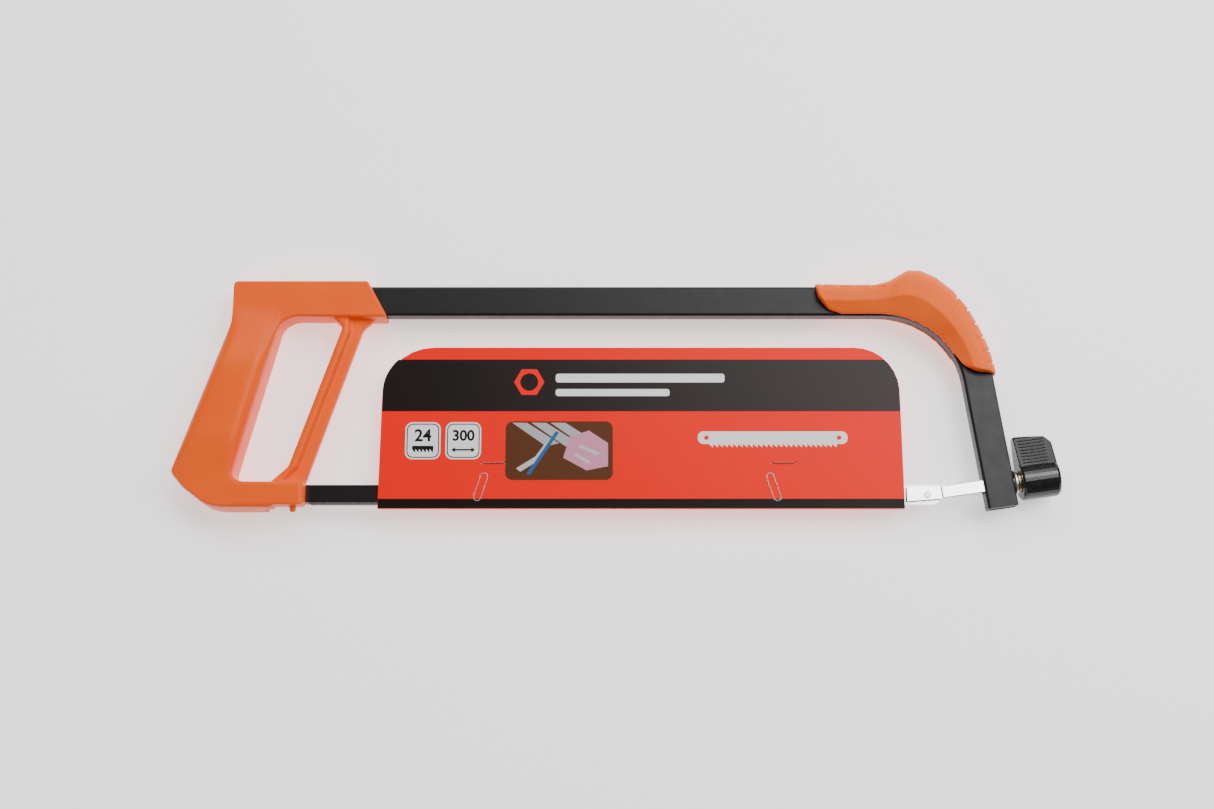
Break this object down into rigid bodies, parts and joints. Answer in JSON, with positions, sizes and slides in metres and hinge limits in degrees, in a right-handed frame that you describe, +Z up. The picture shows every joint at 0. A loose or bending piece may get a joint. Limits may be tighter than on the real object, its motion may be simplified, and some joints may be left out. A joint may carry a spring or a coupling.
{
  "type": "hacksaw",
  "caption": "Hacksaw with a bent rectangular tube frame, closed handle, front grip, wing tension knob and a carded 300 mm blade.",
  "frame": {"origin": "centre of the saw's box on the surface that it lies on", "axes": "+X along the blade from the handle to the knob, +Y from the blade to the top tube, +Z up from the saw's side; it lies flat"},
  "size_m": [0.4132, 0.1172, 0.025],
  "materials": {
    "orange_paint": "gloss",
    "orange_plastic": "matte",
    "black_paint": "satin",
    "black_plug": "matte",
    "black_gloss_plastic": "gloss",
    "chrome": "polished",
    "zinc_steel": "satin",
    "brass": "satin",
    "black_blade": "gloss",
    "printed_card": "gloss print",
    "clear_plastic": "clear"
  },
  "bodies": {
    "frame": {"frame_tube": "black_paint", "tube_end_plug": "black_plug", "handle": "orange_paint", "handle_roll_pin_1": "zinc_steel", "handle_roll_pin_2": "zinc_steel", "rear_blade_pin": "zinc_steel", "front_grip_near": "orange_plastic", "front_grip_far": "orange_plastic", "grip_screw_1": "zinc_steel", "grip_screw_2": "zinc_steel", "grip_screw_3": "zinc_steel", "knob_washer": "zinc_steel"},
    "knob": {"tension_knob": "black_gloss_plastic", "knob_insert": "brass"},
    "bolt": {"tension_bolt": "chrome", "front_blade_pin": "zinc_steel"},
    "blade": {"saw_blade": "black_blade"},
    "card": {"card_sleeve": "printed_card", "card_staple_1": "zinc_steel", "card_staple_2": "zinc_steel", "card_tie_1": "clear_plastic", "card_tie_2": "clear_plastic"}
  },
  "joints": [
    {"name": "knob_turn", "type": "hinge", "parent": "frame", "child": "knob", "pos_m": [0.1955, -0.04252, 0.0125], "axis": [0.9898, 0.1426, 0], "range_deg": [-432, 432]},
    {"name": "bolt_slide", "type": "slide", "parent": "frame", "child": "bolt", "axis": [0.9898, 0.1426, 0], "range_m": [-0.0012, 0.0012]},
    {"name": "blade_shift", "type": "slide", "parent": "frame", "child": "blade", "axis": [1, 0, 0], "range_m": [-0.0006, 0.0006]},
    {"name": "card_slide", "type": "slide", "parent": "blade", "child": "card", "axis": [1, 0, 0], "range_m": [-0.018, 0]}
  ],
  "couplings": [
    {"joint": "bolt_slide", "follows": "knob_turn", "m_per_rad": -0.00015915},
    {"joint": "blade_shift", "follows": "knob_turn", "m_per_rad": -0.000079577}
  ]
}
